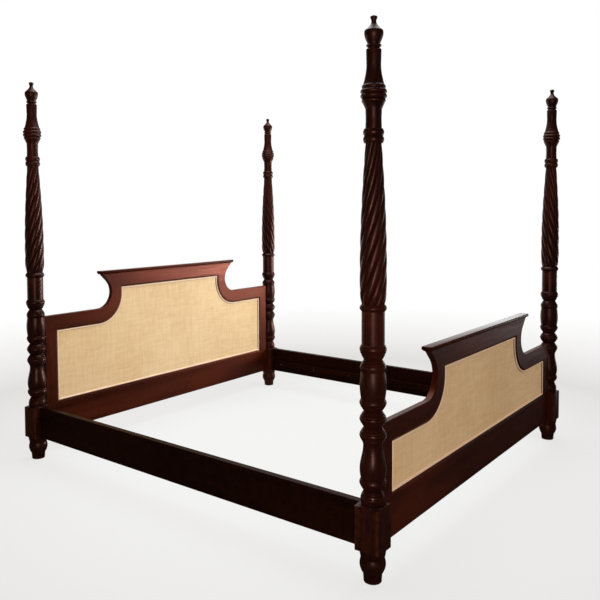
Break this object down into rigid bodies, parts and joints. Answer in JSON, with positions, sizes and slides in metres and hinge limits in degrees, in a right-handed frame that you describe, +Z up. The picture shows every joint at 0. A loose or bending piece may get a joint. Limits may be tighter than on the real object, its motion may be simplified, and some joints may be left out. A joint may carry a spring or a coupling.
{
  "type": "four-poster bed frame",
  "caption": "King-size bed frame with rope-twist reeded posts, turned finials, and a scrolled headboard and footboard with woven panels.",
  "frame": {"origin": "on the floor under the middle of the bed, midway between the four feet", "axes": "+Z up, +Y towards the headboard, +X to the right of a person who stands at the foot and looks at the headboard"},
  "size_m": [2.147, 2.282, 2.095],
  "materials": {
    "mahogany": "dark red-brown mahogany under a satin lacquer",
    "woven_grass": "fine natural grass weave, matte",
    "reed": "split reed bead, natural, slightly glossy",
    "plywood": "bare plywood, hidden behind the weave",
    "poplar": "bare sanded hardwood",
    "steel": "zinc plated",
    "brass": "plain turned brass"
  },
  "bodies": {
    "root": {"post_lower_head_left": "mahogany", "post_lower_head_right": "mahogany", "post_lower_foot_left": "mahogany", "post_lower_foot_right": "mahogany", "post_upper_head_left": "mahogany", "post_upper_head_right": "mahogany", "post_upper_foot_left": "mahogany", "post_upper_foot_right": "mahogany", "finial_head_left": "mahogany", "finial_head_right": "mahogany", "finial_foot_left": "mahogany", "finial_foot_right": "mahogany", "finial_pins": "steel", "post_rods": "steel", "post_sockets": "brass", "side_rail_left": "mahogany", "side_rail_right": "mahogany", "cleat_left": "mahogany", "cleat_right": "mahogany", "cleat_screws": "steel", "rail_hook_plates": "steel", "post_slot_plates": "steel", "plate_screws": "steel", "board_dowels": "poplar", "head_bottom_rail": "mahogany", "head_stile_left": "mahogany", "head_stile_right": "mahogany", "head_shoulder_left": "mahogany", "head_shoulder_right": "mahogany", "head_crest_rail": "mahogany", "head_cap": "mahogany", "head_panel_core": "plywood", "head_weave_inner": "woven_grass", "head_weave_outer": "woven_grass", "head_bead_inner": "reed", "head_bead_outer": "reed", "foot_bottom_rail": "mahogany", "foot_stile_left": "mahogany", "foot_stile_right": "mahogany", "foot_shoulder_left": "mahogany", "foot_shoulder_right": "mahogany", "foot_crest_rail": "mahogany", "foot_cap": "mahogany", "foot_panel_core": "plywood", "foot_weave_inner": "woven_grass", "foot_weave_outer": "woven_grass", "foot_bead_inner": "reed", "foot_bead_outer": "reed"}
  },
  "joints": []
}
